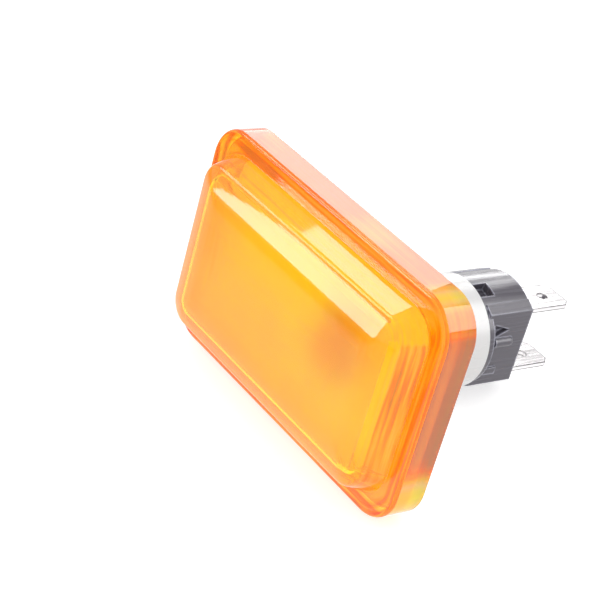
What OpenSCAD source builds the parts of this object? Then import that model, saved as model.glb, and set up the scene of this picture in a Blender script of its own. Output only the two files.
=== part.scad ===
// Side repeater lamp for a car's wing: an amber lens on a white back housing, with a
// twist-in bulb holder, two blade terminals and a capless wedge bulb.
// +Y points through the body panel, -Y out to the viewer, +Z up.
// The origin is where the barrel's axis meets the panel's outer face.

/* [Lens] */
// Width of the lens
lens_w = 62; // [56:0.5:72]
// Height of the lens
lens_h = 38.5; // [34:0.5:46]
// Radius of the lens's corners, seen from the front
lens_corner_r = 6.5; // [5.5:0.1:9]
// Depth of the lens's side wall
lens_side = 5.7; // [5.2:0.1:8]
// Radius of the edge between the side wall and the rim
rim_edge_r = 0.6; // [0.3:0.1:1.2]
// Width of the flat rim around the raised face
rim_w = 3.1; // [2.4:0.1:4.2]
// Height of the raised face above the rim
face_rise = 5.5; // [5:0.1:7]
// Radius of the raised face's corners, seen from the front
face_corner_r = 5.6; // [5.2:0.1:6.6]
// How far the sides of the raised face lean inwards
face_draft = 1.3; // [0.8:0.1:1.5]
// Radius of the edge of the raised face
face_edge_r = 1.2; // [0.8:0.1:1.6]
// Width of the curved shoulder inside that edge
shoulder_w = 6; // [4:0.5:6.5]
// Slope of the shoulder at that edge, in degrees
shoulder_slope = 20; // [12:1:22]
// Thickness of the lens's face and of its rim
lens_t = 2; // [1.6:0.1:2.6]
// Thickness of the lens's side wall in front of the back housing
side_t = 4.6; // [3:0.1:5]
// Thickness of the lens's side wall around the back housing
skirt_t = 1.6; // [1.2:0.1:1.8]

/* [Back housing] */
// Thickness of the housing's plate
plate_t = 1.5; // [1.2:0.1:2.2]
// Clearance around the housing's plate
plate_fit = 0.1; // [0.05:0.05:0.3]
// Distance from the barrel's axis to the middle of the lens
barrel_offset = 8.6; // [5:0.1:10]
// Outer radius of the barrel
barrel_r = 9.2; // [8.8:0.1:10]
// Gap around the bulb where it comes through the plate
bulb_room = 0.5; // [0.3:0.1:1.2]
// Length of the barrel behind the panel's outer face
barrel_len = 18; // [17:0.25:22]
// Thickness of the barrel's wall
barrel_t = 1.1; // [0.9:0.1:1.3]
// How far the collar at the barrel's foot stands out from the barrel
collar_step = 0.2; // [0.1:0.05:0.25]
// Distance from the panel's outer face down to the collar
collar_drop = 0.3; // [0.2:0.1:0.6]
// Distance from the lens's end to the middle of the fixed hook
hook_inset = 6.6; // [6:0.1:7.6]
// Reach of the fixed hook under the panel
hook_reach = 1.6; // [1:0.1:2]
// Width of the fixed hook
hook_w = 8; // [5:0.5:12]
// Thickness of the fixed hook
hook_t = 1.8; // [1.2:0.1:2.4]
// Thickness of the body panel that the lamp clips to
panel_t = 1; // [0.7:0.1:1.4]
// Play of the panel under the hook and the spring clip
panel_play = 0.2; // [0.1:0.05:0.4]

/* [Panel gasket] */
// Thickness of the foam gasket, pressed down
gasket_t = 1.1; // [1:0.1:1.8]
// How far the gasket stands proud of the lens's back edge
gasket_proud = 0.6; // [0.3:0.1:0.8]
// Gap around the gasket and around its windows
gasket_gap = 0.3; // [0.2:0.05:0.5]
// Gap between the barrel and the gasket
gasket_hole_gap = 1; // [0.85:0.05:1.4]

/* [Spring clip] */
// Distance from the lens's other end to the middle of the clip's boss
clip_inset = 12.6; // [10.6:0.1:14]
// Width of the clip's boss along the lens
boss_w = 4.2; // [3.6:0.1:5]
// Depth of the clip's boss across the lens
boss_d = 8; // [6.5:0.5:10]
// Height of the clip's boss behind the panel's outer face
boss_h = 7.6; // [6.5:0.1:9]
// Width of the clip's strip
clip_w = 6.4; // [5:0.2:7]
// Thickness of the clip's strip
clip_t = 0.5; // [0.3:0.1:0.7]
// How far the clip's wings stand out from its boss
wing_reach = 3; // [2.4:0.1:3.6]
// Height of the wings' widest place over the panel
wing_rise = 1.6; // [1.2:0.1:2.4]
// Gap between the wings' feet and the boss
foot_gap = 0.6; // [0.4:0.1:1]
// Radius of the stake that holds the clip
stake_r = 1; // [0.8:0.1:1.3]
// Height of the stake's head
stake_head_t = 0.8; // [0.6:0.1:1.2]
// Radius of the stake's head
stake_head_r = 1.7; // [1.5:0.1:2]
// Clearance around the stake in the clip's hole
stake_fit = 0.05; // [0.02:0.01:0.15]

/* [Bulb holder] */
// Radius of the holder's body
holder_r = 8.9; // [8.5:0.1:9.1]
// Length of the holder's body behind the barrel
holder_len = 9.7; // [8.8:0.1:12]
// Thickness of the holder's round flange
flange_t = 1.3; // [1:0.1:1.8]
// Distance from the axis to the holder's flat grips
grip_x = 6.65; // [6.3:0.05:6.8]
// Half the height of the holder's flat grips
grip_z = 6.6; // [6.3:0.05:6.7]
// Width of the bevel beside each flat grip
grip_bevel = 1.7; // [1.2:0.1:2.2]
// Radial clearance of the holder's plug in the barrel
plug_fit = 0.4; // [0.3:0.05:0.5]
// Radial clearance of the holder's neck in the ring inside the barrel
neck_fit = 0.3; // [0.2:0.05:0.5]
// Depth of the socket for the bulb's wedge base
socket_depth = 10.8; // [10.6:0.1:11.2]
// Height of the ring inside the barrel that the bayonet lugs lock under
rim_in = 0.9; // [0.7:0.1:1]
// Thickness of that ring
rim_in_t = 2; // [1.5:0.1:2.5]
// Distance from the barrel's end to that ring
rim_in_depth = 3.6; // [3.4:0.1:4]
// Thickness of the bayonet lugs
lug_t = 1.9; // [1.5:0.1:2.3]
// Angle that each bayonet lug spans, in degrees
lug_angle = 36; // [24:2:44]
// Play of the bayonet lugs in the barrel
lug_play = 0.2; // [0.1:0.05:0.3]
// Play of the bayonet lugs in their slots, in degrees
slot_play = 3; // [2:0.5:5]
// Thickness of the holder's O-ring
o_ring_t = 1.5; // [1.3:0.1:1.6]
// Clearance of the O-ring in its groove and in the barrel
o_ring_fit = 0.05; // [0.03:0.01:0.1]
// Distance from the barrel's end to the O-ring's groove
groove_land = 0.9; // [0.7:0.1:1.2]

/* [Holder's grip] */
// Distance from the flange to the marks on the visible grip
mark_gap = 1; // [0.6:0.1:1.4]
// Length of the sloping recess
ramp_len = 3.4; // [2.8:0.1:4]
// Height of the sloping recess at its wide end
ramp_h = 2.3; // [1.8:0.1:2.8]
// Distance from the axis up to the sloping recess
ramp_z = 2.3; // [2.2:0.1:2.8]
// Depth of the sloping recess
ramp_depth = 0.9; // [0.5:0.1:1.2]
// Radius of the rib
rib_r = 0.85; // [0.6:0.05:0.95]
// Length of the rib
rib_len = 3.2; // [2.6:0.1:4]
// Distance from the flange to the rib
rib_gap = 1.7; // [1.2:0.1:2.2]
// Distance from the axis up to the rib's middle
rib_z = 1.25; // [0.8:0.05:1.3]
// Height of the step
step_h = 1.2; // [0.8:0.1:1.6]
// Length of the step
step_len = 3.9; // [3:0.1:5]
// Distance from the axis down to the step's middle
step_z = 4; // [3.4:0.1:4.6]
// How far the step stands out from the grip
step_out = 0.4; // [0.2:0.1:0.6]
// Width of the window through the flange's edge
window_w = 2.7; // [2:0.1:3]
// Depth of that window
window_depth = 1.5; // [1:0.1:1.8]
// Length of that window behind the barrel
window_len = 3.3; // [2.4:0.1:4]
// Place of that window around the axis, in degrees
window_angle = 75.5; // [70:0.5:80]

/* [Terminals] */
// Width of the terminals' blades
blade_w = 6.3; // [5.8:0.1:6.6]
// Thickness of the terminals' blades
blade_t = 0.8; // [0.6:0.1:0.9]
// Length of the blades behind the holder
blade_len = 9.6; // [8:0.1:11]
// Distance from the axis to the blades' middle, along the lens
blade_x = 2.4; // [1.6:0.1:2.6]
// Distance from the axis to each blade's middle plane
blade_z = 5.55; // [5.4:0.05:5.8]
// Radius of the hole in each blade
blade_hole_r = 0.85; // [0.6:0.05:1]
// Distance from a blade's tip to its hole
blade_hole_at = 3.7; // [2.6:0.1:4.4]
// Size of the chamfers at a blade's tip
blade_chamfer = 1; // [0.8:0.1:1.8]
// Length of each blade inside the holder
blade_hold = 6.3; // [6:0.1:6.8]
// Thickness of the contact fingers
finger_t = 0.5; // [0.4:0.05:0.6]
// Length of the joint between a blade and its finger
finger_lap = 2; // [1.6:0.1:2.6]
// Length of the finger's bend down from the blade
bend_len = 2.2; // [1.9:0.1:2.5]
// Height of the finger above the crest that touches the bulb
finger_rise = 1.6; // [1.4:0.1:1.8]
// Gap between the bulb's glass and the finger's fold
finger_gap = 0.7; // [0.5:0.1:1]
// Depth of the finger's fold
fold_len = 0.8; // [0.7:0.1:1]
// Length of the finger's arm that springs back to the bulb
arm_len = 3.6; // [3.2:0.1:4]
// Length of the arm's turned-up tail
tail_len = 1.6; // [1.2:0.1:2]
// Gap between the terminals and the holder's walls
terminal_fit = 0.15; // [0.1:0.05:0.25]

/* [Bulb] */
// Radius of the bulb's glass
bulb_r = 4.9; // [4.6:0.05:5]
// Length of the whole bulb
bulb_len = 26.8; // [25.5:0.1:27]
// Thickness of the bulb's glass
bulb_t = 0.6; // [0.4:0.05:0.8]
// Width of the wedge base
wedge_w = 9.4; // [9:0.1:9.6]
// Thickness of the wedge base
wedge_t = 2.1; // [1.9:0.05:2.3]
// Length of the wedge base
wedge_len = 7.4; // [7:0.1:8]
// How far the glass runs down over the wedge base
glass_lap = 1; // [0.6:0.1:1.2]
// Height of the glass's shoulder over its foot
shoulder = 2.6; // [2.2:0.1:3]
// Radius of the glass where it meets the wedge base
pinch_r = 2; // [1.9:0.1:2.4]
// Thickness of the glass's solid foot
seal_t = 2.2; // [1.8:0.1:2.4]
// Radius of the lead wires
lead_r = 0.2; // [0.15:0.01:0.25]
// Distance from the bulb's axis to each lead wire
lead_x = 2.4; // [2:0.1:2.7]
// Radius of the filament's coil
filament_r = 0.22; // [0.15:0.01:0.3]
// Distance from the base's end to the filament
filament_at = 20; // [18:0.1:21]
// Clearance of the leads in the glass and on the base
lead_fit = 0.02; // [0.01:0.01:0.05]
// Clearance around the wedge base in the holder
wedge_fit = 0.15; // [0.1:0.05:0.2]
// Clearance around the glass in the holder's cup
cup_fit = 0.2; // [0.15:0.05:0.3]

/* [Hidden] */
$fn = 96;
over = 1;
edge_steps = 6;
crown_steps = 6;
crown_clear = 0.02;
core_r = 0.3;

lens_x = -barrel_offset;
clip_x = lens_x - lens_w / 2 + clip_inset;
hook_x = lens_x + lens_w / 2 - hook_inset;
collar_r = barrel_r + collar_step;
lens_back = -gasket_proud;
rim_front = lens_back - lens_side;
plate_back = -gasket_t;
plate_front = plate_back - plate_t;
face_front = rim_front - face_rise;
cavity_front = rim_front + lens_t;
shoulder_r = shoulder_w / sin(shoulder_slope);

bore_r = barrel_r - barrel_t;
barrel_end = barrel_len;
rim_in_r = bore_r - rim_in;
rim_in_y1 = barrel_end - rim_in_depth;
rim_in_y0 = rim_in_y1 - rim_in_t;
panel_back = panel_t + panel_play;

plug_r = bore_r - plug_fit;
neck_r = rim_in_r - neck_fit;
lug_r = bore_r - lug_play;
lug_y1 = rim_in_y0 - lug_play;
plug_y0 = lug_y1 - lug_t;
flange_y1 = barrel_end + flange_t;
holder_end = barrel_end + holder_len;
groove_w = o_ring_t + 4 * o_ring_fit;
groove_y = barrel_end - groove_land - groove_w / 2;
o_ring_r = bore_r - o_ring_fit - o_ring_t / 2;
groove_r = o_ring_r - o_ring_t / 2 - o_ring_fit;

// The bulb stands on the floor of the holder's socket
socket_floor = plug_y0 + socket_depth;
bulb_end = socket_floor - 2 * lead_r - lead_fit - wedge_fit;
wedge_y0 = bulb_end - wedge_len;
bulb_tip = bulb_end - bulb_len;
glass_foot = wedge_y0 + glass_lap;
filament_y = bulb_end - filament_at;
lead_z = wedge_t / 2 + lead_fit + lead_r;

// The contact finger inside the holder: out from the blade, in, and back against the lead
blade_tip = holder_end + blade_len;
finger_w = blade_w;
crest_z = lead_z + lead_r + lead_fit + finger_t / 2;
finger_z = crest_z + finger_rise;
finger_y0 = glass_foot + finger_gap;
blade_y0 = holder_end - blade_hold;
bend_y1 = blade_y0 + terminal_fit;
bend_y0 = bend_y1 - bend_len;
lap_y1 = bend_y1 + finger_lap;
chamber_x = finger_w / 2 + terminal_fit;

// A plane outline in X and Z, made solid from y0 to y1
module along_y(y0, y1) {
    translate([0, y1, 0]) rotate([90, 0, 0]) linear_extrude(y1 - y0) children();
}

// A profile of radius and Y, turned about the Y axis
module turned() {
    rotate([-90, 0, 0]) rotate_extrude() children();
}

module rod_y(r, y0, y1) {
    translate([0, y0, 0]) rotate([-90, 0, 0]) cylinder(h = y1 - y0, r = r);
}

module rod_x(r, x0, x1) {
    translate([x0, 0, 0]) rotate([0, 90, 0]) cylinder(h = x1 - x0, r = r);
}

module box(from, to) {
    translate(from) cube(to - from);
}

module rounded_rect(w, h, r) {
    square([w - 2 * r, h], center = true);
    square([w, h - 2 * r], center = true);
    for (sx = [-1, 1], sz = [-1, 1])
        translate([sx * (w / 2 - r), sz * (h / 2 - r)]) circle(r = r);
}

// The lens's outline moved inwards all round
module lens_outline(inset) {
    translate([lens_x, 0])
        rounded_rect(lens_w - 2 * inset, lens_h - 2 * inset, max(lens_corner_r - inset, 0.8));
}

// A block with rounded corners whose edge follows a profile of [distance in, Y] points.
// The profile starts at the back of the outer edge, rises as it goes in, and ends before the
// corner's radius.
module swept_block(w, h, r, back, profile) {
    front = profile[len(profile) - 1][1];
    translate([lens_x, 0, 0]) {
        for (side = [[w, h, 0], [h, w, 90]])
            rotate([0, side[2], 0]) translate([side[0] / 2 - r, 0, 0]) rotate([0, -90, 0])
                linear_extrude(side[0] - 2 * r)
                    polygon(concat([for (p = profile) [side[1] / 2 - p[0], p[1]]],
                                   [for (i = [len(profile) - 1 : -1 : 0])
                                       [profile[i][0] - side[1] / 2, profile[i][1]]]));
        for (sx = [-1, 1], sz = [-1, 1])
            translate([sx * (w / 2 - r), 0, sz * (h / 2 - r)])
                turned() polygon(concat([[0, back]], [for (p = profile) [r - p[0], p[1]]],
                                        [[0, front]]));
    }
}

// A round on a profile, from the side at u0 up to a front that slopes at its edge
function rounded_edge(u0, y0, r, slope = 0) =
    [for (i = [0 : edge_steps])
        let (a = (90 - slope) * i / edge_steps)
        [u0 + r * (1 - cos(a)), y0 + r * (1 - sin(a))]];

module rim_block() {
    swept_block(lens_w, lens_h, lens_corner_r, lens_back,
                concat([[0, lens_back]], rounded_edge(0, rim_front, rim_edge_r)));
}

// A block w by h with rounded corners and a crowned front at the height front. The crown's
// shoulder comes in by the given width from the block's round edge.
module crowned_block(w, h, r, back, side_y, front, shoulder) {
    slope = asin(shoulder / shoulder_r);
    crest = front + crown_clear + shoulder_r * (1 - cos(slope));
    edge = rounded_edge(face_draft, crest - face_edge_r * (1 - cos(slope)), face_edge_r, slope);
    last = edge[edge_steps];
    rest = r - core_r - last[0];
    intersection() {
        swept_block(w, h, r, back,
                    concat([[0, back], [0, side_y]], edge, [last + rest * [1, -tan(slope)]]));
        crown(w, h, 0, last[0], back, front, shoulder);
        crown(h, w, 90, last[0], back, front, shoulder);
    }
}

// A bar of length w whose front is flat in the middle and curves down to both sides
module crown(w, h, angle, inset, back, front, shoulder) {
    slope = asin(shoulder / shoulder_r);
    curve = [for (i = [0 : crown_steps])
        let (a = slope * (1 - i / crown_steps))
        [h / 2 - inset - shoulder + shoulder_r * sin(a),
         front + shoulder_r * (1 - cos(a))]];
    foot = [h / 2 + over, curve[0][1] + (inset + over) * tan(slope)];
    half = concat([[h / 2 + over, back + over], foot], curve);
    translate([lens_x, 0, 0]) rotate([0, angle, 0])
        translate([w / 2 + over, 0, 0]) rotate([0, -90, 0]) linear_extrude(w + 2 * over)
            polygon(concat(half, [for (i = [len(half) - 1 : -1 : 0]) [-half[i][0], half[i][1]]]));
}

module raised_face() {
    crowned_block(lens_w - 2 * rim_w, lens_h - 2 * rim_w, face_corner_r, rim_front + over,
                  rim_front, face_front, shoulder_w);
}

// The hollow behind the raised face
module face_hollow() {
    inset = rim_w + lens_t;
    crowned_block(lens_w - 2 * inset, lens_h - 2 * inset, face_corner_r - lens_t / 2,
                  plate_front, cavity_front, face_front + lens_t, shoulder_w - lens_t);
}

module lens() {
    color([1, 0.62, 0.1, 0.6])
    difference() {
        union() {
            rim_block();
            raised_face();
        }
        face_hollow();
        along_y(cavity_front, plate_front + over) lens_outline(side_t);
        along_y(plate_front, lens_back + over) lens_outline(skirt_t);
    }
}

// A piece of the barrel's section between two angles, measured from +X towards +Z
module sector(from, to, r) {
    steps = 6;
    polygon(concat([[0, 0]],
        [for (i = [0 : steps]) let (a = from + (to - from) * i / steps) r * [cos(a), sin(a)]]));
}

module barrel() {
    difference() {
        union() {
            rod_y(barrel_r, plate_front, barrel_end);
            rod_y(collar_r, plate_front, -collar_drop);
        }
        rod_y(bulb_r + bulb_room, plate_front - over, plate_back + over);
        rod_y(bore_r, plate_back, rim_in_y0);
        rod_y(rim_in_r, rim_in_y0 - over, rim_in_y1 + over);
        rod_y(bore_r, rim_in_y1, barrel_end + over);
        // the slots that let the bayonet lugs through the ring
        for (turn = [90, 270])
            intersection() {
                rod_y(bore_r, rim_in_y0 - over, rim_in_y1 + over);
                along_y(rim_in_y0 - over, rim_in_y1 + over)
                    sector(turn - lug_angle / 2 - slot_play, turn + lug_angle / 2 + slot_play,
                           2 * bore_r);
            }
    }
}

// The hook goes under the panel first, through a slot of its own
module fixed_hook() {
    x0 = hook_x - hook_t / 2;
    x1 = hook_x + hook_t / 2;
    tip_x = x1 + hook_reach;
    tip_y = panel_back + hook_t;
    translate([0, 0, -hook_w / 2]) linear_extrude(hook_w)
        polygon([[x0, plate_front], [x1, plate_front], [x1, panel_back], [tip_x, panel_back],
                 [tip_x, panel_back + hook_t / 2], [x1, tip_y], [x0, tip_y]]);
}

// The boss that carries the spring clip, with its stake and the stake's head
module clip_boss() {
    translate([clip_x, 0, 0]) {
        box([-boss_w / 2, plate_front, -boss_d / 2], [boss_w / 2, boss_h, boss_d / 2]);
        rod_y(stake_r, plate_front, boss_h + clip_t + stake_head_t);
        rod_y(stake_head_r, boss_h + clip_t, boss_h + clip_t + stake_head_t);
    }
}

module back_housing() {
    color("white") {
        difference() {
            along_y(plate_front, plate_back) lens_outline(skirt_t + plate_fit);
            rod_y(barrel_r - barrel_t / 2, plate_front - over, plate_back + over);
        }
        barrel();
        fixed_hook();
        clip_boss();
    }
}

// The gasket's windows let the hook's nose and the clip's wings through
module panel_gasket() {
    clip_room = boss_w / 2 + wing_reach + clip_t + gasket_gap;
    color([0.85, 0.85, 0.84])
    difference() {
        along_y(plate_back, 0) lens_outline(skirt_t + gasket_gap);
        rod_y(barrel_r + gasket_hole_gap, plate_back - over, over);
        box([clip_x - clip_room, plate_back - over, -boss_d / 2 - gasket_gap],
            [clip_x + clip_room, over, boss_d / 2 + gasket_gap]);
        box([hook_x - hook_t / 2 - gasket_gap, plate_back - over, -hook_w / 2 - gasket_gap],
            [hook_x + hook_t / 2 + hook_reach + gasket_gap, over, hook_w / 2 + gasket_gap]);
    }
}

// A strip of even thickness along a path, as the outline of its edge view
function unit(v) = v / norm(v);
function left_of(v) = [-v[1], v[0]];
function side_of(p, i) =
    let (n = len(p),
         a = i > 0 ? left_of(unit(p[i] - p[i - 1])) : left_of(unit(p[1] - p[0])),
         b = i < n - 1 ? left_of(unit(p[i + 1] - p[i])) : a,
         m = unit(a + b))
    m / (m * b);
function strip(p, t) = concat(
    [for (i = [0 : len(p) - 1]) p[i] + side_of(p, i) * t / 2],
    [for (i = [len(p) - 1 : -1 : 0]) p[i] - side_of(p, i) * t / 2]);

module spring_clip() {
    top_y = boss_h + clip_t / 2;
    top_x = boss_w / 2 + clip_t;
    wing_x = boss_w / 2 + wing_reach;
    wing_y = panel_back + clip_t + wing_rise;
    foot_x = boss_w / 2 + clip_t + foot_gap;
    foot_y = panel_back + clip_t / 2;
    path = [[-foot_x, foot_y], [-wing_x, wing_y], [-top_x, top_y],
            [top_x, top_y], [wing_x, wing_y], [foot_x, foot_y]];
    color([0.75, 0.76, 0.78])
    translate([clip_x, 0, 0])
    difference() {
        translate([0, 0, -clip_w / 2]) linear_extrude(clip_w) polygon(strip(path, clip_t));
        rod_y(stake_r + stake_fit, boss_h - over, boss_h + clip_t + over);
    }
}

// The upper terminal's path inside the holder, in Y and Z
finger_path = [[lap_y1, blade_z], [bend_y1, blade_z], [bend_y0, finger_z],
               [finger_y0 + fold_len, finger_z], [finger_y0, finger_z - fold_len],
               [finger_y0 + arm_len, crest_z], [finger_y0 + arm_len + tail_len, crest_z + finger_t]];

module blade_outline() {
    y1 = blade_tip;
    difference() {
        polygon([[blade_x - blade_w / 2, blade_y0], [blade_x + blade_w / 2, blade_y0],
                 [blade_x + blade_w / 2, y1 - blade_chamfer],
                 [blade_x + blade_w / 2 - blade_chamfer, y1],
                 [blade_x - blade_w / 2 + blade_chamfer, y1],
                 [blade_x - blade_w / 2, y1 - blade_chamfer]]);
        translate([blade_x, y1 - blade_hole_at]) circle(r = blade_hole_r);
    }
}

module terminal() {
    color([0.86, 0.85, 0.82]) {
        translate([0, 0, blade_z - blade_t / 2]) linear_extrude(blade_t) blade_outline();
        rotate([90, 0, 90]) translate([0, 0, -finger_w / 2])
            linear_extrude(finger_w) polygon(strip(finger_path, finger_t));
    }
}

module terminal_upper() {
    terminal();
}

module terminal_lower() {
    mirror([0, 0, 1]) terminal();
}

// Room inside the holder for one terminal: for the finger, for the bend and for the blade
module terminal_room() {
    room_z = blade_z + blade_t / 2 + terminal_fit;
    blade_x0 = blade_x - blade_w / 2 - terminal_fit;
    blade_x1 = blade_x + blade_w / 2 + terminal_fit;
    box([-chamber_x, plug_y0 - over, wedge_t / 2],
        [chamber_x, bend_y1, finger_z + finger_t / 2 + terminal_fit]);
    box([-chamber_x, bend_y0 - finger_t, finger_z - finger_t],
        [max(chamber_x, blade_x1), lap_y1 + terminal_fit, room_z]);
    box([blade_x0, bend_y0, blade_z - blade_t / 2 - terminal_fit],
        [blade_x1, holder_end + over, room_z]);
}

// The body's section behind the flange: a round with two flat grips and bevelled corners
module body_section() {
    intersection() {
        circle(r = holder_r);
        square([2 * grip_x, 4 * holder_r], center = true);
    }
    for (side = [0, 1])
        mirror([side, 0])
            polygon([[0, 0], [grip_x - grip_bevel, -grip_z - grip_bevel * 0.6], [grip_x, -grip_z],
                     [grip_x, grip_z], [grip_x - grip_bevel, grip_z + grip_bevel * 0.6]]);
}

// The marks on the visible grip: a sloping recess, a rib and a small step
module grip_ramp() {
    translate([grip_x - ramp_depth, flange_y1 + mark_gap, ramp_z])
        rotate([90, 0, 90]) linear_extrude(over + ramp_depth)
            polygon([[0, ramp_h], [ramp_len, ramp_h / 2], [ramp_len / 4, 0]]);
}

module grip_rib() {
    rib_y0 = flange_y1 + rib_gap;
    translate([grip_x, 0, rib_z]) {
        rod_y(rib_r, rib_y0, rib_y0 + rib_len);
        translate([0, rib_y0 + rib_len, 0]) sphere(r = rib_r);
    }
}

module grip_step() {
    box([grip_x - over, flange_y1 - flange_t / 2, -step_z - step_h / 2],
        [grip_x + step_out, flange_y1 + step_len, -step_z + step_h / 2]);
}

// A window through the flange's edge, above the visible grip
module flange_window() {
    rotate([0, -window_angle, 0])
        box([holder_r - window_depth, barrel_end - over, -window_w / 2],
            [holder_r + over, barrel_end + window_len, window_w / 2]);
}

module bulb_holder() {
    color([0.16, 0.16, 0.17])
    difference() {
        union() {
            rod_y(holder_r, barrel_end, flange_y1);
            along_y(flange_y1 - flange_t / 2, holder_end) body_section();
            rod_y(plug_r, rim_in_y1 + lug_play, flange_y1);
            rod_y(neck_r, plug_y0, flange_y1);
            intersection() {
                rod_y(lug_r, plug_y0, lug_y1);
                along_y(plug_y0, lug_y1)
                    for (turn = [0, 180])
                        sector(turn - lug_angle / 2, turn + lug_angle / 2, 2 * bore_r);
            }
            grip_rib();
            grip_step();
        }
        // the O-ring's groove
        difference() {
            rod_y(bore_r, groove_y - groove_w / 2, groove_y + groove_w / 2);
            rod_y(groove_r, groove_y - groove_w, groove_y + groove_w);
        }
        // the socket for the wedge base, with a cup for the glass in front of it
        box([-wedge_w / 2 - wedge_fit, plug_y0 - over, -wedge_t / 2 - wedge_fit],
            [wedge_w / 2 + wedge_fit, socket_floor, wedge_t / 2 + wedge_fit]);
        rod_y(bulb_r + 2 * cup_fit, plug_y0 - over, glass_foot + cup_fit);
        terminal_room();
        mirror([0, 0, 1]) terminal_room();
        grip_ramp();
        flange_window();
    }
}

module holder_o_ring() {
    color([0.1, 0.1, 0.1])
        turned() translate([o_ring_r, groove_y]) circle(r = o_ring_t / 2);
}

// Radius of the glass's outside at a height above the wedge base, and of its inside
function glass_profile(r, tip, neck, foot) = concat(
    [[0, tip]],
    [for (i = [1 : 10]) let (a = 9 * i) [r * sin(a), tip + 0.9 * r * (1 - cos(a))]],
    [for (i = [0 : 6]) let (a = 15 * i)
        [neck + (r - neck) * cos(a), foot - shoulder * (1 - sin(a))]],
    [[0, foot]]);

module bulb_glass() {
    color([1, 0.7, 0.3, 0.5])
    difference() {
        union() {
            turned() polygon(glass_profile(bulb_r, bulb_tip, pinch_r, glass_foot));
            box([-wedge_w / 2, wedge_y0, -wedge_t / 2], [wedge_w / 2, bulb_end, wedge_t / 2]);
        }
        turned()
            polygon(glass_profile(bulb_r - bulb_t, bulb_tip + bulb_t, pinch_r - bulb_t,
                                  glass_foot - seal_t));
        for (side = [-1, 1])
            translate([side * lead_x, 0, 0])
                rod_y(lead_r + lead_fit, glass_foot - shoulder - seal_t, bulb_end + over);
    }
}

// One lead wire: a post inside the glass, through the base, and folded back along its face
module lead(side) {
    color([0.7, 0.68, 0.65])
    translate([side * lead_x, 0, 0]) {
        fold_y = bulb_end + lead_fit + lead_r;
        rod_y(lead_r, filament_y, fold_y);
        translate([0, fold_y, 0]) sphere(r = lead_r);
        translate([0, fold_y, 0]) mirror([0, 0, side > 0 ? 0 : 1]) cylinder(h = lead_z, r = lead_r);
        translate([0, 0, side * lead_z]) {
            rod_y(lead_r, glass_foot + cup_fit, fold_y);
            translate([0, fold_y, 0]) sphere(r = lead_r);
        }
    }
}

module bulb_lead_left() {
    lead(-1);
}

module bulb_lead_right() {
    lead(1);
}

module bulb_filament() {
    reach = lead_x - lead_r - lead_fit;
    color([0.4, 0.4, 0.42])
        translate([0, filament_y + 2 * lead_r, 0]) rod_x(filament_r, -reach, reach);
}

lens();
back_housing();
panel_gasket();
spring_clip();
bulb_holder();
holder_o_ring();
terminal_upper();
terminal_lower();
bulb_glass();
bulb_lead_left();
bulb_lead_right();
bulb_filament();
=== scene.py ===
"""Side repeater lamp: finishes, finely modelled pieces, studio and camera.

Everything is in metres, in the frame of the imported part: +Y through the body panel, -Y out
of the lens, +X along the lens's long side and +Z up.
"""

import math

import bmesh
import bpy
from mathutils import Matrix, Quaternion, Vector


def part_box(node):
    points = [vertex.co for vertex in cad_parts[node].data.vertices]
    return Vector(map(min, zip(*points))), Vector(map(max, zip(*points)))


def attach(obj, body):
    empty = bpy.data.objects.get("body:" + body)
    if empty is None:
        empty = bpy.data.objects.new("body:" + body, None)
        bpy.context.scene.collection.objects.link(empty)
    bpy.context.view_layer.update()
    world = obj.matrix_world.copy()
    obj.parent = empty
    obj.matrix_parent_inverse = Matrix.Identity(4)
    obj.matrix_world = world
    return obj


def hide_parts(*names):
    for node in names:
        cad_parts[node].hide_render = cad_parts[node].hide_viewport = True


MM = 0.001
IMAGE_W, IMAGE_H = 600, 616

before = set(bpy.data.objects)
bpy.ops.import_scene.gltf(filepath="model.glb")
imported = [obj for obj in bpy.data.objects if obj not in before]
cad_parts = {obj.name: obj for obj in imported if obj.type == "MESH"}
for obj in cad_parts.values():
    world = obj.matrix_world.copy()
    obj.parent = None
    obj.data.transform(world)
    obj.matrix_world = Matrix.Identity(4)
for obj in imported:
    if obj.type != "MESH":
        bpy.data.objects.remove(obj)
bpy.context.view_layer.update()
scene = bpy.context.scene

# Camera: place, line of sight and up in the part's frame, and focal length in pixels
CAMERA_AT = Vector((175.0, -174.4, 134.0)) * MM
CAMERA_LOOK = Vector((-0.65189, 0.59530, -0.46974))
CAMERA_UP = Vector((-0.51968, 0.10041, 0.84844))
FOCAL_PX = 1826.7
SENSOR_MM = 36.0

# The lamp lies on the lens's lower back edge and the end of its holder
FLOOR_TILT = math.radians(20)

# Lens, in millimetres
LENS_X = -8.6
LENS_W = 62.0
LENS_H = 38.5
LENS_BACK = -0.6
LENS_CORNER_R = 6.5
RIM_FRONT = -6.3
RIM_EDGE_R = 0.6
RIM_W = 3.1
FACE_RISE = 5.5
FACE_CORNER_R = 5.6
FACE_DRAFT = 1.3
FACE_EDGE_R = 1.2
SHOULDER_W = 6.0
SHOULDER_SLOPE = 20.0
FACE_T = 2.0
SIDE_T = 4.6
SKIRT_T = 1.6
PLATE_FRONT = -2.6
CORNER_MIN_R = 0.6
CORNER_LEAD = 0.5
LEDGE_GAP = 0.05

# Rows of points: round the rim's edge, the raised edge, the crown, and on the flat of the face
RIM_EDGE_STEPS = 8
FACE_EDGE_STEPS = 12
CROWN_STEPS = 12
FLAT_ROWS = 6
RIM_ROWS = (1.0, 1.4, 1.8, 2.2, 2.7)
SUPPORT_REACH = 0.08

# Points along a corner, a long side and a short side of the lens
CORNER_STEPS = 12
LONG_STEPS = 24
SHORT_STEPS = 14

# Limits of the regions of tone: slack for a flat, reach of the side wall round its edge, width
# added at the right end, share of the wall that is its foot, and reach of the painted highlight stripe
# past the wall and edge
FLAT_SLACK = 0.02
SIDE_REACH = 0.1
RIGHT_REACH = 0.3
FOOT_SHARE = 0.35
WALL_REACH = 0.2
HIGHLIGHT_STRIPE_REACH = 0.6
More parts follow.
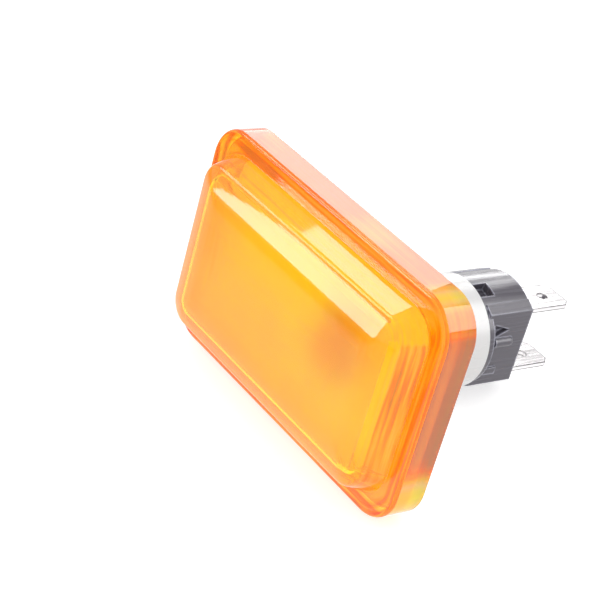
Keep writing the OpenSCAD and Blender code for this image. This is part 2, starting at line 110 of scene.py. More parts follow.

# Tones of the amber, from 0, yellow, to 1, brown orange; some of them are painted light and shade
SIDE_TONE = 0.88
# painted shade: the right end of the side wall is a deeper tone
RIGHT_SIDE_SHADE_TONE = 1.0
RIM_EDGE_TONE = 0.75
RIM_TONE = 0.7
# painted highlight: a yellow line along the foot of the raised wall
FOOT_HIGHLIGHT_TONE = 0.1
WALL_TONE = 0.4
# painted shade: the right end of the raised wall is a deeper tone
RIGHT_WALL_SHADE_TONE = 0.68
# painted highlight: a yellow stripe past the right end's wall and edge
RIGHT_HIGHLIGHT_STRIPE_TONE = 0.0
FACE_TONE = 0.42
# painted shade: the face's tone deepens towards its left end, over this reach
LEFT_SHADE_TONE = 0.08
LEFT_SHADE_REACH = 25.0

# Patches of painted light and shade, as another tone: middle in X and Z, reach in X and Z, and how much
# the tone changes
FACE_LIGHT_AND_SHADE_PATCHES = (((-8.0, 8.5), (11.0, 4.2), -0.42), ((8.5, 9.5), (6.5, 3.5), 0.22))
RIM_LIGHT_AND_SHADE_PATCHES = (((-38.0, 18.0), (5.0, 5.0), -0.3), ((-27.5, 17.0), (5.0, 0.8), 0.7))
SIDE_LIGHT_PATCHES = (((17.4, 19.1), (1.7, 1.5), -0.55), ((21.9, -13.5), (3.0, 3.8), -0.85))

# Colour at each tone
AMBER_RAMP = ((0.0, (1.0, 1.0, 0.02)), (0.3, (1.0, 0.97, 0.12)), (0.5, (1.0, 0.8, 0.32)),
              (0.68, (1.0, 0.6, 0.03)), (0.88, (1.0, 0.2, 0.03)), (1.0, (0.6, 0.22, 0.12)))

# Flow lines: their scale round the lens and along its section, how strong, and the share of
# them on the side wall and the face; clouds: their scale and how strong
STREAK_SCALE = (0.06, 0.06, 1.6)
STREAKS = 1.4
SIDE_STREAKS = 0.1
FACE_STREAKS = 0.15
CLOUD_SCALE = 70
CLOUDS = 0.4

# How clear the amber is, how frosted its inside, and its colour and a painted glow through its depth
SIDE_CLEAR = 0.5
FACE_CLEAR = 0.92
EDGE_FROST = 0.15
FROST_DEPTH = 0.4
AMBER_ROUGHNESS = (0.03, 0.65)
AMBER_DEPTH_COLOR = (0.99, 0.87, 0.0)
AMBER_DENSITY = 500
AMBER_GLOW_COLOR = (1.0, 0.43, 0.01)
AMBER_GLOW = 45
AMBER_SHADOW = (1.0, 0.9, 0.8)

# Lacquered glass of the bulb
BULB_CLEAR = 0.35
BULB_SHADOW = (1.0, 0.75, 0.4)

# Filament: turns, points in a turn, and the wire's radius as a share of the coil's, and its sides
COIL_TURNS = 22
COIL_STEPS = 18
COIL_WIRE = 0.22
WIRE_SIDES = 8

# How far a rounded normal agrees with the flat one off an edge, and on it
EDGE_SPAN = (0.998, 0.93)

# Gain and offset that break up the painted light and shade on the edges by the grain
EDGE_PAINT_BREAKUP = (3.0, -0.8)

# The part of a noise's range that a grain uses
GRAIN_SPAN = (0.3, 0.7)

# Floor, in metres: its size and the gap under the lamp, its colour, and how bright the painted
# light that it shows in reflections is near the lamp and far from it
FLOOR_SIZE = 0.8
FLOOR_GAP = 0.00005
FLOOR_COLOR = (0.92, 0.92, 0.92)
FLOOR_GLOW = 0.6
MIRRORED_WAY = (-0.65, -0.76, 0)
MIRRORED_FROM, MIRRORED_TO = 0.05, 0.22
MIRRORED_NEAR, MIRRORED_FAR = 1.3, 0.25

# Soft panels of light: direction, width and height for each metre of distance, and brightness
SOFTBOXES = {
    # on the lens's top wall and the rim
    "softbox_top": dict(toward=(-0.74, 0.6, 0.28), width=0.3, height=0.6, radiance=3.2),
    # on the top of the raised wall
    "softbox_over": dict(toward=(-0.546, 0.21, 0.8115), width=0.3, height=0.26, radiance=5),
    # on the crown of the face, as a long wedge
    "softbox_front": dict(toward=(-0.63, -0.768, -0.07), width=0.21, height=0.37, radiance=6.5, twist=-20),
    # on the round edge between them
    "softbox_edge": dict(toward=(-0.6, -0.44, 0.66), width=0.22, height=1.0, radiance=4.5),
    # low on the side wall and the holder
    "softbox_low": dict(toward=(-0.71, 0.68, 0.12), width=0.24, height=0.5, radiance=7),
    # close above the holder
    "strip_behind": dict(toward=(-0.317, 0.78, 0.537), width=0.2, height=0.2, radiance=6, distance=0.082),
    # on the lens's upper right corner
    "softbox_back": dict(toward=(0.47, 0.6, 0.6), width=0.75, height=0.75, radiance=5),
}


def make_camera():
    data = bpy.data.cameras.new("camera")
    data.sensor_fit = "HORIZONTAL"
    data.sensor_width = SENSOR_MM
    data.lens = FOCAL_PX / IMAGE_W * SENSOR_MM
    data.clip_start = 0.01
    data.clip_end = 20
    camera = bpy.data.objects.new("camera", data)
    scene.collection.objects.link(camera)
    look = CAMERA_LOOK.normalized()
    right = look.cross(CAMERA_UP).normalized()
    up = right.cross(look)
    turn = Matrix((right, up, -look)).transposed()
    camera.matrix_world = Matrix.Translation(CAMERA_AT) @ turn.to_4x4()
    scene.camera = camera


# Mesh tools


def arc(centre, radius, start, end, steps):
    """Points on an arc of a profile, with the angles in degrees."""
    points = []
    for i in range(steps + 1):
        angle = math.radians(start + (end - start) * i / steps)
        points.append((centre[0] + radius * math.cos(angle), centre[1] + radius * math.sin(angle)))
    return points


def with_support(points, reach):
    """Adds a point near each end of every long straight, to hold smooth shading flat."""
    out = []
    for i, p in enumerate(points):
        out.append(p)
        if i + 1 == len(points):
            break
        q = points[i + 1]
        length = math.dist(p, q)
        if length > 4 * reach:
            for share in (reach / length, 1 - reach / length):
                out.append((p[0] + (q[0] - p[0]) * share, p[1] + (q[1] - p[1]) * share))
    return out


def rounded_ring(half_w, half_h, radius):
    """Points (x, z) of a rounded rectangle, the same count for each size."""
    radius = min(radius, half_w, half_h)
    points = []
    corners = [(1, 1, 0), (-1, 1, 90), (-1, -1, 180), (1, -1, 270)]
    for n, (sx, sz, start) in enumerate(corners):
        cx, cz = sx * (half_w - radius), sz * (half_h - radius)
        for i in range(CORNER_STEPS + 1):
            angle = math.radians(start + 90 * i / CORNER_STEPS)
            points.append((cx + radius * math.cos(angle), cz + radius * math.sin(angle)))
        tx, tz, turn = corners[(n + 1) % 4]
        end = (tx * (half_w - radius) + radius * math.cos(math.radians(turn)),
               tz * (half_h - radius) + radius * math.sin(math.radians(turn)))
        steps = LONG_STEPS if n % 2 == 0 else SHORT_STEPS
        here = points[-1]
        for i in range(1, steps):
            points.append((here[0] + (end[0] - here[0]) * i / steps,
                           here[1] + (end[1] - here[1]) * i / steps))
    return points


def loft(shape, rings):
    """Quads between rings of points in space; the rings run on from one to the next."""
    rows = [[shape.verts.new(Vector(p) * MM) for p in ring] for ring in rings]
    for a, b in zip(rows, rows[1:]):
        count = len(a)
        for i in range(count):
            j = (i + 1) % count
            shape.faces.new((a[i], a[j], b[j], b[i]))
    return rows


def new_object(name, shape, smooth=True):
    bmesh.ops.remove_doubles(shape, verts=shape.verts, dist=1e-7)
    bmesh.ops.recalc_face_normals(shape, faces=shape.faces)
    mesh = bpy.data.meshes.new(name)
    shape.to_mesh(mesh)
    shape.free()
    for polygon in mesh.polygons:
        polygon.use_smooth = smooth
    made = bpy.data.objects.new(name, mesh)
    scene.collection.objects.link(made)
    return made


def lens_ring(inset, y, corner_r):
    half_w = LENS_W / 2 - inset
    half_h = LENS_H / 2 - inset
    return [(LENS_X + x, y, z) for x, z in rounded_ring(half_w, max(half_h, 1e-4), max(corner_r, 1e-4))]


def corner_law(inset):
    """Radius of the corners: the rim's, or from just before the raised face, the face's."""
    if inset < RIM_W - CORNER_LEAD:
        return LENS_CORNER_R - inset
    return max(FACE_CORNER_R - (inset - RIM_W), CORNER_MIN_R)


def shoulder_profile(edge_u, front, width):
    """The crown from its edge in to the flat of the face, and the slope at that edge."""
    radius = SHOULDER_W / math.sin(math.radians(SHOULDER_SLOPE))
    slope = math.degrees(math.asin(width / radius))
    points = []
    for i in range(CROWN_STEPS + 1):
        angle = math.radians(slope * (1 - i / CROWN_STEPS))
        points.append((edge_u + width - radius * math.sin(angle), front + radius * (1 - math.cos(angle))))
    return points, slope


def raised_profile(base_u, side_y, front, width):
    """From the foot of a drafted side, over the round edge, to the middle of the crown."""
    slope = shoulder_profile(0, front, width)[1]
    edge_u = base_u + FACE_DRAFT + FACE_EDGE_R * (1 - math.sin(math.radians(slope)))
    crown = shoulder_profile(edge_u, front, width)[0]
    centre = (base_u + FACE_DRAFT + FACE_EDGE_R,
              crown[0][1] + FACE_EDGE_R * math.cos(math.radians(slope)))
    run, rise = centre[0] - base_u, side_y - centre[1]
    lean = math.degrees(math.atan2(run, rise) - math.asin(FACE_EDGE_R / math.hypot(run, rise)))
    edge = arc(centre, FACE_EDGE_R, 180 + lean, 270 - slope, FACE_EDGE_STEPS)
    last = crown[-1][0]
    flat = [(last + (LENS_H / 2 - last) * i / FLAT_ROWS, front) for i in range(1, FLAT_ROWS + 1)]
    return [(base_u, side_y)] + edge + crown[1:] + flat


def on_side_wall(u, y):
    return u < FLAT_SLACK and y > RIM_FRONT + RIM_EDGE_R - SIDE_REACH


def streakiness(u, y):
    """How far the flow lines show: all round the rim and the foot of the raised face."""
    if y > RIM_FRONT + SIDE_REACH:
        return SIDE_STREAKS
    return 1.0 if u < RIM_W + FACE_DRAFT + FACE_EDGE_R else FACE_STREAKS


def clearness(u, y):
    """How much light passes: the fine-grained side wall is duller than the rest."""
    return SIDE_CLEAR if on_side_wall(u, y) else FACE_CLEAR


def patched(tone, x, z, patches):
    """A tone that changes smoothly around some places on the lens, as patches of painted light and shade.
    """
    for at, reach, change in patches:
        tone += change * math.exp(-((x - at[0]) / reach[0]) ** 2 - ((z - at[1]) / reach[1]) ** 2)
    return tone


def amber_tone(u, y, x, z):
    """How deep the amber looks, at an inset and height of the section and a place on the lens: the amber's
    depth, with painted light and shade laid over it.
    """
    right = x > LENS_X + LENS_W / 2 - u - RIGHT_REACH
    # the side wall: painted shade at its right end, and patches of painted light
    if on_side_wall(u, y):
        return patched(RIGHT_SIDE_SHADE_TONE if right else SIDE_TONE, x, z, SIDE_LIGHT_PATCHES)
    if u < RIM_EDGE_R:
        return RIM_EDGE_TONE
    # the rim, with patches of painted light and shade
    if y > RIM_FRONT - FLAT_SLACK:
        return patched(RIM_TONE, x, z, RIM_LIGHT_AND_SHADE_PATCHES)
    # the foot of the wall: a painted highlight, and painted shade at the right end
    if u < RIM_W + FOOT_SHARE * FACE_DRAFT:
        return RIGHT_WALL_SHADE_TONE if right else FOOT_HIGHLIGHT_TONE
    # the wall: painted shade at the right end
    if u < RIM_W + FACE_DRAFT + WALL_REACH:
        return RIGHT_WALL_SHADE_TONE if right else WALL_TONE
    # a painted highlight stripe just past the right end's raised edge
    if right and u < RIM_W + FACE_DRAFT + FACE_EDGE_R + HIGHLIGHT_STRIPE_REACH:
        return RIGHT_HIGHLIGHT_STRIPE_TONE
    # the face: painted shade deepening towards the left end, and patches of painted light and shade
    left = LEFT_SHADE_TONE * min(1.0, max(0.0, -x / LEFT_SHADE_REACH))
    return patched(FACE_TONE + left, x, z, FACE_LIGHT_AND_SHADE_PATCHES)


def flow_frame(count, profile):
    """For noise that runs round the lens: a circle for the way round, and the way along the profile."""
    around = (LENS_W + LENS_H) / math.pi
    turns = [math.tau * i / count for i in range(count)]
    circle = [(around * math.cos(turn), around * math.sin(turn)) for turn in turns]
    down = [0.0]
    for a, b in zip(profile, profile[1:]):
        down.append(down[-1] + math.dist(a, b))
    return circle, down


def make_lens():
    face_front = RIM_FRONT - FACE_RISE
    outer = [(0, LENS_BACK)]
    outer += arc((RIM_EDGE_R, RIM_FRONT + RIM_EDGE_R), RIM_EDGE_R, 180, 270, RIM_EDGE_STEPS)
    outer += [(u, RIM_FRONT) for u in RIM_ROWS]
    outer += raised_profile(RIM_W, RIM_FRONT, face_front, SHOULDER_W)
    inner = raised_profile(RIM_W + FACE_T, RIM_FRONT + FACE_T, face_front + FACE_T, SHOULDER_W - FACE_T)
    inner.reverse()
    ledge = PLATE_FRONT - LEDGE_GAP
    inner += [(SIDE_T, RIM_FRONT + FACE_T), (SIDE_T, ledge), (SKIRT_T, ledge), (SKIRT_T, LENS_BACK)]
    outer = with_support(outer, SUPPORT_REACH)
    inner = with_support(inner, SUPPORT_REACH)

    shape = bmesh.new()
    inside = shape.verts.layers.float.new("inside")
    tone = shape.verts.layers.float.new("tone")
    flow = shape.verts.layers.float_vector.new("flow")
    streaky = shape.verts.layers.float.new("streaky")
    clear = shape.verts.layers.float.new("clear")
    rows = loft(shape, [lens_ring(u, y, corner_law(u)) for u, y in outer])
    rows_in = loft(shape, [lens_ring(u, y, corner_law(u)) for u, y in inner])
    circle, down = flow_frame(len(rows[0]), outer)
    for (u, y), way, row in zip(outer, down, rows):
        for vert, around in zip(row, circle):
            vert[tone] = amber_tone(u, y, vert.co.x / MM, vert.co.z / MM)
            vert[flow] = (*around, way)
            vert[streaky] = streakiness(u, y)
            vert[clear] = clearness(u, y)
    for (u, y), row in zip(inner, rows_in):
        for vert in row:
            vert[inside] = 1.0 if y < face_front + FACE_T + FROST_DEPTH else EDGE_FROST
            vert[clear] = FACE_CLEAR
    first, last = rows[0], rows_in[-1]
    for i in range(len(first)):
        j = (i + 1) % len(first)
        shape.faces.new((first[j], first[i], last[i], last[j]))
    lens = new_object("lens_moulding", shape)
    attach(lens, "root")
    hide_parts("lens")
    return lens


def tube(shape, path, radius, sides):
    """A round wire along a path of points, closed at both ends."""
    rings = []
    for i, here in enumerate(path):
        ahead = (path[min(i + 1, len(path) - 1)] - path[max(i - 1, 0)]).normalized()
        out = ahead.cross(Vector((1, 0, 0))).normalized()
        other = ahead.cross(out)
        turns = [math.tau * n / sides for n in range(sides)]
        points = [here + radius * (math.cos(a) * out + math.sin(a) * other) for a in turns]
        rings.append([shape.verts.new(point) for point in points])
    for a, b in zip(rings, rings[1:]):
        for n in range(sides):
            m = (n + 1) % sides
            shape.faces.new((a[n], a[m], b[m], b[n]))
    shape.faces.new(list(reversed(rings[0])))
    shape.faces.new(rings[-1])


def make_filament():
    """The coil that the plain rod stands in for, wound along the rod's own axis."""
    low, high = (Vector(corner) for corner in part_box("bulb_filament"))
    middle = (low + high) / 2
    length = high.x - low.x
    outer_r = (high.z - low.z) / 2
    wire_r = outer_r * COIL_WIRE
    coil_r = outer_r - wire_r
    steps = COIL_TURNS * COIL_STEPS
    path = []
    for i in range(steps + 1):
        turn = math.tau * i / COIL_STEPS
        x = low.x + wire_r + (length - 2 * wire_r) * i / steps
        path.append(Vector((x, middle.y + coil_r * math.cos(turn), middle.z + coil_r * math.sin(turn))))
    shape = bmesh.new()
    tube(shape, path, wire_r, WIRE_SIDES)
    coil = new_object("filament_coil", shape)
    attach(coil, "root")
    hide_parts("bulb_filament")
    return coil


# Materials


def new_material(name):
    material = bpy.data.materials.new(name)
    material.use_nodes = True
    tree = material.node_tree
    tree.nodes.clear()
    out = tree.nodes.new("ShaderNodeOutputMaterial")
    return material, tree, out


def node(tree, kind, **settings):
    made = tree.nodes.new(kind)
    for key, value in settings.items():
        setattr(made, key, value)
    return made


def principled(tree, **values):
    shader = tree.nodes.new("ShaderNodeBsdfPrincipled")
    for key, value in values.items():
        shader.inputs[key].default_value = value
    return shader


def noise(tree, vector, scale, detail, roughness=0.5):
    made = node(tree, "ShaderNodeTexNoise")
    made.inputs["Scale"].default_value = scale
    made.inputs["Detail"].default_value = detail
    made.inputs["Roughness"].default_value = roughness
    tree.links.new(vector, made.inputs["Vector"])
    return made.outputs["Fac"]


def scaled(tree, value, factor, offset=0.0):
    made = node(tree, "ShaderNodeMath", operation="MULTIPLY_ADD")
    tree.links.new(value, made.inputs[0])
    made.inputs[1].default_value = factor
    made.inputs[2].default_value = offset
    return made.outputs[0]


def added(tree, one, two):
    made = node(tree, "ShaderNodeMath", operation="ADD")
    tree.links.new(one, made.inputs[0])
    tree.links.new(two, made.inputs[1])
    return made.outputs[0]


def attribute(tree, name, output="Fac"):
    return node(tree, "ShaderNodeAttribute", attribute_name=name).outputs[output]


def product(tree, one, two):
    made = node(tree, "ShaderNodeMath", operation="MULTIPLY")
    tree.links.new(one, made.inputs[0])
    tree.links.new(two, made.inputs[1])
    return made.outputs[0]


def amber_depth(tree):
    """The tone of each place on the lens, painted light and shade included, with drawn lines along the rim
    and faint clouds.
    """
    stretch = node(tree, "ShaderNodeMapping")
    stretch.inputs["Scale"].default_value = STREAK_SCALE
    tree.links.new(attribute(tree, "flow", "Vector"), stretch.inputs["Vector"])
    streaks = scaled(tree, noise(tree, stretch.outputs[0], 1, 3), STREAKS, -STREAKS / 2)
    lines = product(tree, streaks, attribute(tree, "streaky"))
    place = node(tree, "ShaderNodeTexCoord")
    clouds = scaled(tree, noise(tree, place.outputs["Object"], CLOUD_SCALE, 2), CLOUDS, -CLOUDS / 2)
    return added(tree, added(tree, attribute(tree, "tone"), lines), clouds)


def amber_volume(tree):
    """Deeper amber, and a low painted glow that lights the lens from within, the longer the way through
    the moulding.
    """
    depth = node(tree, "ShaderNodeVolumeAbsorption")
    depth.inputs["Color"].default_value = (*AMBER_DEPTH_COLOR, 1)
    depth.inputs["Density"].default_value = AMBER_DENSITY
    glow = node(tree, "ShaderNodeEmission")
    glow.inputs["Color"].default_value = (*AMBER_GLOW_COLOR, 1)
    glow.inputs["Strength"].default_value = AMBER_GLOW
    both = node(tree, "ShaderNodeAddShader")
    tree.links.new(depth.outputs[0], both.inputs[0])
    tree.links.new(glow.outputs[0], both.inputs[1])
    return both.outputs[0]


def amber_lens():
    """Polished amber acrylic whose tone, clearness and frosting follow the lens's own layers; the tone
    holds painted light and shade, and the depth a painted glow.
    """
    material, tree, out = new_material("amber_lens")
    shader = principled(tree, IOR=1.49)
    tree.links.new(attribute(tree, "clear"), shader.inputs["Transmission Weight"])
    ramp = node(tree, "ShaderNodeValToRGB")
    stops = ramp.color_ramp.elements
    stops[0].color = (*AMBER_RAMP[0][1], 1)
    stops[1].color = (*AMBER_RAMP[-1][1], 1)
    for tone, color in AMBER_RAMP[1:-1]:
        stops.new(tone).color = (*color, 1)
    tree.links.new(amber_depth(tree), ramp.inputs["Fac"])
    tree.links.new(ramp.outputs["Color"], shader.inputs["Base Color"])
    rough = node(tree, "ShaderNodeMapRange")
    rough.inputs["To Min"].default_value, rough.inputs["To Max"].default_value = AMBER_ROUGHNESS
    tree.links.new(attribute(tree, "inside"), rough.inputs["Value"])
    tree.links.new(rough.outputs[0], shader.inputs["Roughness"])
    lets_light_through(tree, shader, AMBER_SHADOW, out)
    tree.links.new(amber_volume(tree), out.inputs["Volume"])
    return material


def stretched(tree, scale):
    """Object coordinates in metres, times a scale along each axis."""
    place = node(tree, "ShaderNodeTexCoord")
    made = node(tree, "ShaderNodeMapping")
    made.inputs["Scale"].default_value = scale
    tree.links.new(place.outputs["Object"], made.inputs["Vector"])
    return made.outputs[0]


def edge_mask(tree, reach):
    """1 on the edges of a piece, falling to 0 within a reach of them."""
    rounded = node(tree, "ShaderNodeBevel", samples=8)
    rounded.inputs["Radius"].default_value = reach
    flat = node(tree, "ShaderNodeNewGeometry")
    agree = node(tree, "ShaderNodeVectorMath", operation="DOT_PRODUCT")
    tree.links.new(rounded.outputs[0], agree.inputs[0])
    tree.links.new(flat.outputs["Normal"], agree.inputs[1])
    mask = node(tree, "ShaderNodeMapRange")
    mask.inputs["From Min"].default_value = EDGE_SPAN[0]
    mask.inputs["From Max"].default_value = EDGE_SPAN[1]
    tree.links.new(agree.outputs["Value"], mask.inputs["Value"])
    return mask.outputs[0]


def painted_edge_light_and_shade(tree, grain, reach, color, shader):
    """Painted light and shade on the edges: another colour there, broken up by the grain."""
    share = product(tree, edge_mask(tree, reach), scaled(tree, grain, *EDGE_PAINT_BREAKUP))
    base = shader.inputs["Base Color"].links[0].from_socket
    mix = node(tree, "ShaderNodeMix", data_type="RGBA")
    tree.links.new(share, mix.inputs[0])
    tree.links.new(base, mix.inputs[6])
    mix.inputs[7].default_value = (*color, 1)
    tree.links.new(mix.outputs[2], shader.inputs["Base Color"])


def varied_color(tree, fac, low, high, shader):
    """Base colour that runs from low to high with a grain from 0 to 1."""
    ramp = node(tree, "ShaderNodeValToRGB")
    for element, place, color in zip(ramp.color_ramp.elements, GRAIN_SPAN, (low, high)):
        element.position = place
        element.color = (*color, 1)
    tree.links.new(fac, ramp.inputs["Fac"])
    tree.links.new(ramp.outputs["Color"], shader.inputs["Base Color"])


def varied_roughness(tree, fac, low, high, shader):
    spread = node(tree, "ShaderNodeMapRange")
    spread.inputs["From Min"].default_value, spread.inputs["From Max"].default_value = GRAIN_SPAN
    spread.inputs["To Min"].default_value = low
    spread.inputs["To Max"].default_value = high
    tree.links.new(fac, spread.inputs["Value"])
    tree.links.new(spread.outputs[0], shader.inputs["Roughness"])


def softened(tree, height, depth, edge, shader):
    """A bump from a grain, over edges that are rounded to a small radius."""
    bevel = node(tree, "ShaderNodeBevel", samples=6)
    bevel.inputs["Radius"].default_value = edge
    made = node(tree, "ShaderNodeBump")
    made.inputs["Distance"].default_value = depth
    tree.links.new(height, made.inputs["Height"])
    tree.links.new(bevel.outputs[0], made.inputs["Normal"])
    tree.links.new(made.outputs[0], shader.inputs["Normal"])


def grained(name, grain, detail, colors, roughness, depth, edge=0.00012, edge_light_and_shade=None, **values):
    """A solid material whose grain sets its colour, gloss and bump; a reach and a colour can paint light
    or shade onto its edges.
    """
    material, tree, out = new_material(name)
    shader = principled(tree, **values)
    fac = noise(tree, stretched(tree, grain), 1, detail)
    varied_color(tree, fac, *colors, shader)
    if edge_light_and_shade:
        painted_edge_light_and_shade(tree, fac, *edge_light_and_shade, shader)
    varied_roughness(tree, fac, *roughness, shader)
    softened(tree, fac, depth, edge, shader)
    tree.links.new(shader.outputs[0], out.inputs["Surface"])
    return material


def white_plastic():
    """Glossy white moulding with a faint flow pattern."""
    return grained("white_plastic", (260, 120, 260), 4, ((0.94, 0.94, 0.935), (0.97, 0.97, 0.97)),
                   (0.2, 0.34), 0.000006)


def black_plastic():
    """Black nylon with fine drag lines along the way it leaves the mould, and a painted highlight along
    its edges.
    """
    return grained("black_plastic", (1500, 45, 1500), 5, ((0.115, 0.105, 0.13), (0.14, 0.13, 0.16)),
                   (0.14, 0.36), 0.00001, edge_light_and_shade=(0.0005, (0.5, 0.5, 0.6)))


def black_rubber():
    return grained("black_rubber", (900, 900, 900), 4, ((0.018, 0.018, 0.018), (0.035, 0.034, 0.033)),
                   (0.5, 0.7), 0.00001)


def tinned_brass():
    """Bright tin over brass, with lines along the blade from the stamped strip, and painted dark shade
    along its edges.
    """
    return grained("tinned_brass", (2600, 50, 2600), 5, ((0.74, 0.71, 0.72), (0.88, 0.86, 0.87)),
                   (0.12, 0.3), 0.000004, edge_light_and_shade=(0.0004, (0.08, 0.075, 0.08)), Metallic=1.0)


def spring_steel():
    """Rolled strip: fine lines across the clip and a faint blue from tempering."""
    return grained("spring_steel", (60, 900, 1800), 5, ((0.5, 0.52, 0.56), (0.68, 0.68, 0.69)),
                   (0.18, 0.36), 0.000004, Metallic=1.0)


def lead_wire():
    return grained("lead_wire", (2000, 150, 2000), 3, ((0.55, 0.5, 0.43), (0.72, 0.69, 0.64)),
                   (0.25, 0.4), 0.000003, edge=0.00003, Metallic=1.0)


def filament_wire():
    return grained("filament_wire", (3000, 3000, 3000), 3, ((0.22, 0.22, 0.24), (0.36, 0.36, 0.38)),
                   (0.35, 0.5), 0.000002, edge=0.00002, Metallic=1.0)


def white_foam():
    """Closed-cell foam: small round cells under a dull skin."""
    material, tree, out = new_material("white_foam")
    shader = principled(tree)
    cells = node(tree, "ShaderNodeTexVoronoi", feature="SMOOTH_F1")
    cells.inputs["Scale"].default_value = 2200
    place = node(tree, "ShaderNodeTexCoord")
    tree.links.new(place.outputs["Object"], cells.inputs["Vector"])
    varied_color(tree, cells.outputs["Distance"], (0.78, 0.78, 0.77), (0.88, 0.88, 0.87), shader)
    varied_roughness(tree, cells.outputs["Distance"], 0.85, 0.98, shader)
    softened(tree, cells.outputs["Distance"], 0.00008, 0.00015, shader)
    tree.links.new(shader.outputs[0], out.inputs["Surface"])
    return material


def lets_light_through(tree, shader, color, out):
    """Shadow rays pass with a tint, so that what lies behind the clear piece stays lit."""
    through = node(tree, "ShaderNodeBsdfTransparent")
    through.inputs["Color"].default_value = (*color, 1)
    path = node(tree, "ShaderNodeLightPath")
    both = mixed(tree, path.outputs["Is Shadow Ray"], shader.outputs[0], through.outputs[0])
    tree.links.new(both, out.inputs["Surface"])


def amber_bulb():
    """Glass with a thin amber lacquer that is a little deeper in places."""
    material, tree, out = new_material("amber_bulb")
    shader = principled(tree, IOR=1.5)
    shader.inputs["Transmission Weight"].default_value = BULB_CLEAR
    lacquer = noise(tree, stretched(tree, (300, 90, 300)), 1, 3)
    varied_color(tree, lacquer, (1.0, 0.5, 0.08), (1.0, 0.6, 0.15), shader)
    varied_roughness(tree, lacquer, 0.04, 0.12, shader)
    lets_light_through(tree, shader, BULB_SHADOW, out)
    return material


def dress(name, material):
    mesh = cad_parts[name].data
    mesh.materials.clear()
    mesh.materials.append(material)


def mixed(tree, fac, one, two):
    made = node(tree, "ShaderNodeMixShader")
    tree.links.new(fac, made.inputs["Fac"])
    tree.links.new(one, made.inputs[1])
    tree.links.new(two, made.inputs[2])
    return made.outputs[0]


def painted_floor_reflection(tree):
    """Painted light that the floor shows in reflections: brighter near the lamp, falling off towards the
    dark side of the studio.
    """
    place = node(tree, "ShaderNodeNewGeometry")
    reach = node(tree, "ShaderNodeVectorMath", operation="DOT_PRODUCT")
    reach.inputs[1].default_value = MIRRORED_WAY
    tree.links.new(place.outputs["Position"], reach.inputs[0])
    fall = node(tree, "ShaderNodeMapRange", interpolation_type="SMOOTHSTEP")
    fall.inputs["From Min"].default_value = MIRRORED_FROM
    fall.inputs["From Max"].default_value = MIRRORED_TO
    fall.inputs["To Min"].default_value = MIRRORED_NEAR
    fall.inputs["To Max"].default_value = MIRRORED_FAR
    tree.links.new(reach.outputs["Value"], fall.inputs["Value"])
    mirrored = node(tree, "ShaderNodeEmission")
    tree.links.new(fall.outputs[0], mirrored.inputs["Strength"])
    return mirrored.outputs[0]


def floor_material():
    """White to the camera but for the lamp's shadow, and clear from below."""
    material, tree, out = new_material("floor")
    pale = node(tree, "ShaderNodeBsdfDiffuse")
    pale.inputs["Color"].default_value = (*FLOOR_COLOR, 1)
    glow = node(tree, "ShaderNodeEmission")
    glow.inputs["Strength"].default_value = FLOOR_GLOW
    seen = node(tree, "ShaderNodeAddShader")
    tree.links.new(pale.outputs[0], seen.inputs[0])
    tree.links.new(glow.outputs[0], seen.inputs[1])
    path = node(tree, "ShaderNodeLightPath")
    direct = node(tree, "ShaderNodeMath", operation="MAXIMUM")
    tree.links.new(path.outputs["Is Camera Ray"], direct.inputs[0])
    tree.links.new(path.outputs["Is Transmission Ray"], direct.inputs[1])
    lit = mixed(tree, direct.outputs[0], pale.outputs[0], seen.outputs[0])
    shown = mixed(tree, path.outputs["Is Glossy Ray"], lit, painted_floor_reflection(tree))
    clear = node(tree, "ShaderNodeBsdfTransparent")
    side = node(tree, "ShaderNodeNewGeometry")
    below = mixed(tree, side.outputs["Backfacing"], shown, clear.outputs[0])
    tree.links.new(below, out.inputs["Surface"])
    return material


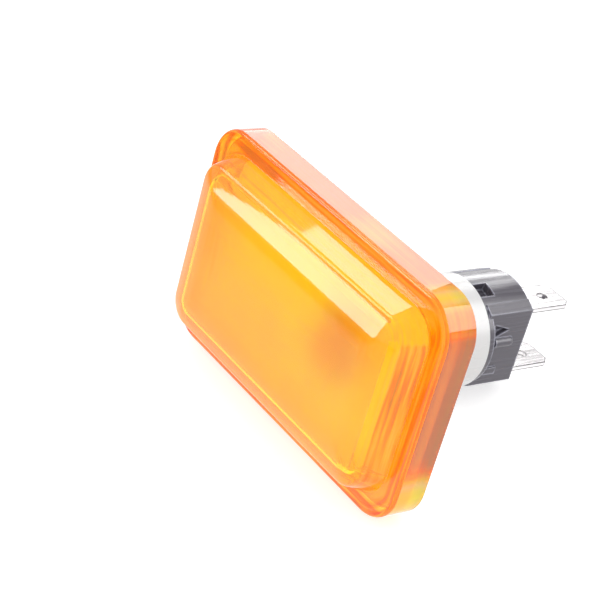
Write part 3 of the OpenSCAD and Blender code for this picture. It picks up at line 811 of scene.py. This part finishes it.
def make_floor():
    up = Vector((0, -math.sin(FLOOR_TILT), math.cos(FLOOR_TILT)))
    rest = Vector((0, LENS_BACK, -LENS_H / 2)) * MM
    mesh = bpy.data.meshes.new("floor")
    shape = bmesh.new()
    bmesh.ops.create_grid(shape, x_segments=1, y_segments=1, size=FLOOR_SIZE)
    turn = up.to_track_quat("Z", "Y").to_matrix().to_4x4()
    shape.transform(Matrix.Translation(rest - up * FLOOR_GAP) @ turn)
    shape.to_mesh(mesh)
    shape.free()
    floor = bpy.data.objects.new("floor", mesh)
    scene.collection.objects.link(floor)
    mesh.materials.append(floor_material())


def softbox(name, toward, width, height, radiance, distance=0.6, twist=0):
    """A rectangular panel of light in one direction from the lamp, seen only in reflections."""
    data = bpy.data.lights.new(name, "AREA")
    data.shape = "RECTANGLE"
    data.size = width * distance
    data.size_y = height * distance
    data.energy = radiance * math.pi * data.size * data.size_y
    light = bpy.data.objects.new(name, data)
    scene.collection.objects.link(light)
    direction = Vector(toward).normalized()
    light.location = direction * distance
    turn = direction.to_track_quat("Z", "Y") @ Quaternion((0, 0, 1), math.radians(twist))
    light.rotation_euler = turn.to_euler()
    light.visible_diffuse = False
    light.visible_transmission = False
    light.visible_camera = False


def make_world():
    """Plain light from all round, and white behind the floor."""
    world = bpy.data.worlds.new("world")
    scene.world = world
    world.use_nodes = True
    tree = world.node_tree
    tree.nodes.clear()
    out = tree.nodes.new("ShaderNodeOutputWorld")
    light = node(tree, "ShaderNodeBackground")
    seen = node(tree, "ShaderNodeBackground")
    seen.inputs["Color"].default_value = (1, 1, 1, 1)
    path = node(tree, "ShaderNodeLightPath")
    behind = mixed(tree, path.outputs["Is Camera Ray"], light.outputs[0], seen.outputs[0])
    tree.links.new(behind, out.inputs["Surface"])


make_camera()
make_world()
make_floor()
for name, panel in SOFTBOXES.items():
    softbox(name, **panel)

lens = make_lens()
lens.data.materials.append(amber_lens())
dress("back_housing", white_plastic())
dress("panel_gasket", white_foam())
dress("spring_clip", spring_steel())
dress("bulb_holder", black_plastic())
dress("holder_o_ring", black_rubber())
blades = tinned_brass()
wire = lead_wire()
for side in ("upper", "lower"):
    dress(f"terminal_{side}", blades)
for side in ("left", "right"):
    dress(f"bulb_lead_{side}", wire)
dress("bulb_glass", amber_bulb())
filament = make_filament()
filament.data.materials.append(filament_wire())

scene.view_settings.view_transform = "Standard"
